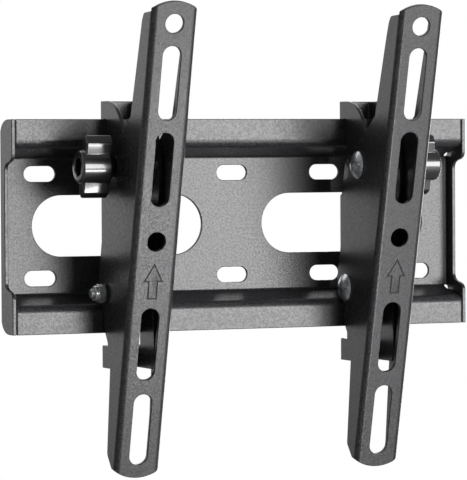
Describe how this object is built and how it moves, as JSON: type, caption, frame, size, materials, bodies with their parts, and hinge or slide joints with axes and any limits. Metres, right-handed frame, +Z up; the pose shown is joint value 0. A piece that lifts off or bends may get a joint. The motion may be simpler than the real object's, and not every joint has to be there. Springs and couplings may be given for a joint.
{
  "type": "tilting television wall bracket",
  "caption": "folded steel wall plate with stepped rails carrying slotted arms that slide sideways, tilt, and are clamped by wing knobs",
  "frame": {"origin": "centre of the wall plate's rear face, in the plane of the wall", "axes": "+X to the right seen from the front, +Y into the wall, +Z up"},
  "size_m": [0.24, 0.0859, 0.2242],
  "materials": {
    "powder_coat": "black textured powder coat",
    "zinc": "bright zinc plated steel",
    "washer_nylon": "black nylon",
    "ring_nylon": "natural nylon",
    "knob_plastic": "moulded black plastic, glossy"
  },
  "bodies": {
    "plate": {"wall_plate": "powder_coat"},
    "left_carrier": {"left_hook_bracket": "powder_coat"},
    "left_arm": {"left_arm": "powder_coat", "left_pivot_bolt": "zinc", "left_pivot_washer": "washer_nylon", "left_lock_nut": "zinc", "left_lock_nut_ring": "ring_nylon", "left_clamp_bolt": "zinc"},
    "left_knob_washer": {"left_knob_washer": "washer_nylon"},
    "left_knob": {"left_knob": "knob_plastic", "left_knob_nut": "zinc"},
    "right_carrier": {"right_hook_bracket": "powder_coat"},
    "right_arm": {"right_arm": "powder_coat", "right_pivot_bolt": "zinc", "right_pivot_washer": "washer_nylon", "right_lock_nut": "zinc", "right_lock_nut_ring": "ring_nylon", "right_clamp_bolt": "zinc"},
    "right_knob_washer": {"right_knob_washer": "washer_nylon"},
    "right_knob": {"right_knob": "knob_plastic", "right_knob_nut": "zinc"}
  },
  "joints": [
    {"name": "left_slide", "type": "slide", "parent": "plate", "child": "left_carrier", "axis": [1, 0, 0], "range_m": [-0.0233, 0.048]},
    {"name": "left_tilt", "type": "hinge", "parent": "left_carrier", "child": "left_arm", "pos_m": [-0.0632, -0.0224, -0.0319], "axis": [1, 0, 0], "range_deg": [-13.5, 1.5]},
    {"name": "left_knob_travel", "type": "slide", "parent": "left_arm", "child": "left_knob_washer", "axis": [-1, 0, 0], "range_m": [0, 0.0008]},
    {"name": "left_knob_turn", "type": "hinge", "parent": "left_knob_washer", "child": "left_knob", "pos_m": [-0.0632, -0.03687, 0.02839], "axis": [-1, 0, 0], "range_deg": [0, 360]},
    {"name": "right_slide", "type": "slide", "parent": "plate", "child": "right_carrier", "axis": [1, 0, 0], "range_m": [-0.048, 0.0233]},
    {"name": "right_tilt", "type": "hinge", "parent": "right_carrier", "child": "right_arm", "pos_m": [0.0632, -0.0224, -0.0319], "axis": [1, 0, 0], "range_deg": [-13.5, 1.5]},
    {"name": "right_knob_travel", "type": "slide", "parent": "right_arm", "child": "right_knob_washer", "axis": [1, 0, 0], "range_m": [0, 0.0008]},
    {"name": "right_knob_turn", "type": "hinge", "parent": "right_knob_washer", "child": "right_knob", "pos_m": [0.0632, -0.03687, 0.02839], "axis": [1, 0, 0], "range_deg": [0, 360]}
  ],
  "couplings": [
    {"joint": "left_knob_turn", "follows": "left_knob_travel", "rad_per_m": 7854},
    {"joint": "right_knob_turn", "follows": "right_knob_travel", "rad_per_m": 7854}
  ]
}
